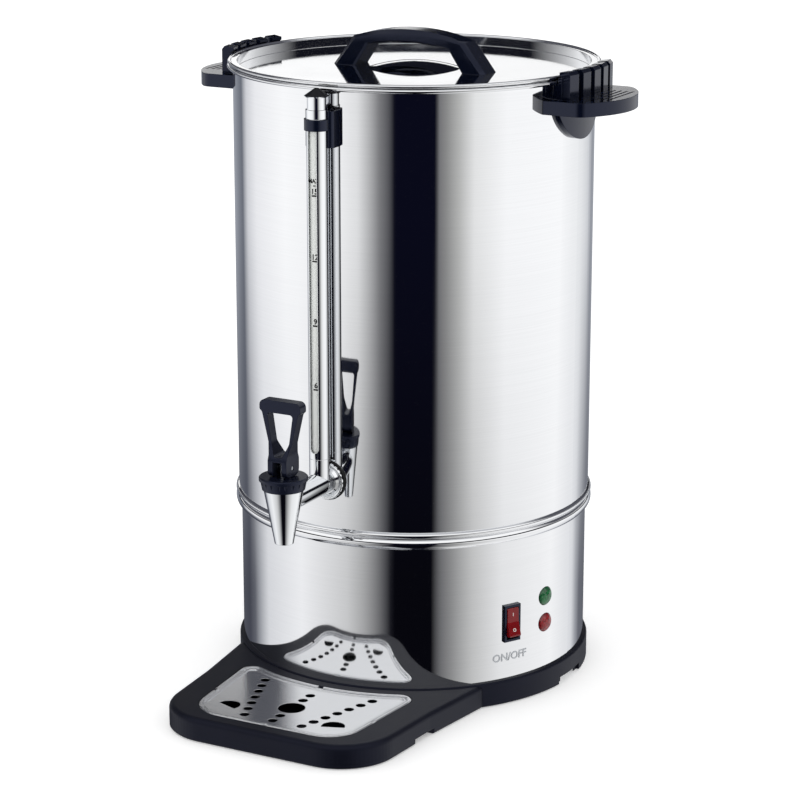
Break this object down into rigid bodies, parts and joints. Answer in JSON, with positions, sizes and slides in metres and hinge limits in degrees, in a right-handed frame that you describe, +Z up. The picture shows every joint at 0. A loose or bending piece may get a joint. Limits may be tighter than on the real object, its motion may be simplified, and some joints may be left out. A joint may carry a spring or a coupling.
{
  "type": "coffee urn",
  "caption": "Steel coffee urn with a slotted sight gauge, a lever tap, a lift-off lid with a bridge handle, comb-shaped side handles, a rocker switch with lamps and a drip tray with a grille.",
  "frame": {"origin": "on the urn's axis, at the level of the surface it stands on", "axes": "+Z up along the urn's axis, -Y towards the tap and drip tray, the side handles along X with the switch on the +X side"},
  "size_m": [0.37, 0.4138, 0.515],
  "materials": {
    "brushed_steel": "polished, fine brushing round the body",
    "inner_steel": "satin",
    "grille_steel": "polished",
    "chrome": "polished",
    "black_plastic": "semi-gloss moulded",
    "base_plastic": "fine grain",
    "rubber": "matt",
    "silicone": "matt",
    "glass": "clear",
    "red_plastic": "translucent, glossy",
    "red_lens": "translucent, glossy",
    "green_lens": "translucent, glossy",
    "fixings": "plated",
    "brass": "machined",
    "heater": "cast",
    "insulator": "matt"
  },
  "bodies": {
    "urn": {"base_ring": "base_plastic", "base_plate": "inner_steel", "base_feet": "rubber", "base_screws": "fixings", "skirt": "brushed_steel", "bead_band": "brushed_steel", "vessel_wall": "brushed_steel", "vessel_floor": "inner_steel", "handle_left": "black_plastic", "handle_right": "black_plastic", "handle_screws": "fixings", "tap_body": "chrome", "tap_flange": "chrome", "shank_washers": "rubber", "shank_nut": "brass", "tap_bonnet": "black_plastic", "gauge_shield": "chrome", "gauge_glass": "glass", "gauge_seals": "rubber", "gauge_cap": "chrome", "gauge_bracket": "black_plastic", "bracket_screw": "fixings", "switch_housing": "black_plastic", "ready_lamp": "green_lens", "heat_lamp": "red_lens", "lamp_nuts": "insulator", "heater_plate": "heater", "heating_element": "heater", "thermostat": "insulator", "cutout": "insulator", "terminal_block": "insulator", "earth_stud": "brass", "cord_gland": "black_plastic", "tie_bolts": "fixings", "heat_shield": "inner_steel", "pump_foot": "inner_steel", "percolator_tube": "inner_steel", "coffee_basket": "inner_steel"},
    "lid": {"lid_pan": "brushed_steel", "lid_handle": "black_plastic", "lid_handle_screws": "fixings"},
    "tray": {"drip_tray": "base_plastic", "tray_pads": "rubber"},
    "grille": {"drip_grille": "grille_steel"},
    "stem": {"tap_stem": "fixings", "seat_cup": "silicone", "lever_pin": "fixings"},
    "lever": {"tap_lever": "black_plastic"},
    "rocker": {"switch_rocker": "red_plastic"},
    "basket_cover": {"basket_lid": "inner_steel"}
  },
  "joints": [
    {"name": "lid_lift", "type": "slide", "parent": "urn", "child": "lid", "axis": [0, 0, 1], "range_m": [0, 0.12]},
    {"name": "tray_slide", "type": "slide", "parent": "urn", "child": "tray", "axis": [0, -1, 0], "range_m": [0, 0.1]},
    {"name": "grille_lift", "type": "slide", "parent": "tray", "child": "grille", "axis": [0, 0, 1], "range_m": [0, 0.06]},
    {"name": "stem_lift", "type": "slide", "parent": "urn", "child": "stem", "axis": [0, 0, 1], "range_m": [0, 0.0045], "stiffness_N_per_m": 600},
    {"name": "lever_tilt", "type": "hinge", "parent": "stem", "child": "lever", "pos_m": [0, -0.208, 0.2128], "axis": [1, 0, 0], "range_deg": [0, 60]},
    {"name": "rocker_flip", "type": "hinge", "parent": "urn", "child": "rocker", "pos_m": [0.11957, -0.06655, 0.066], "axis": [0.4863, 0.8738, 0], "range_deg": [0, 20]},
    {"name": "basket_cover_lift", "type": "slide", "parent": "urn", "child": "basket_cover", "axis": [0, 0, 1], "range_m": [0, 0.035]}
  ],
  "couplings": [
    {"joint": "lever_tilt", "follows": "stem_lift", "rad_per_m": 232.5}
  ]
}
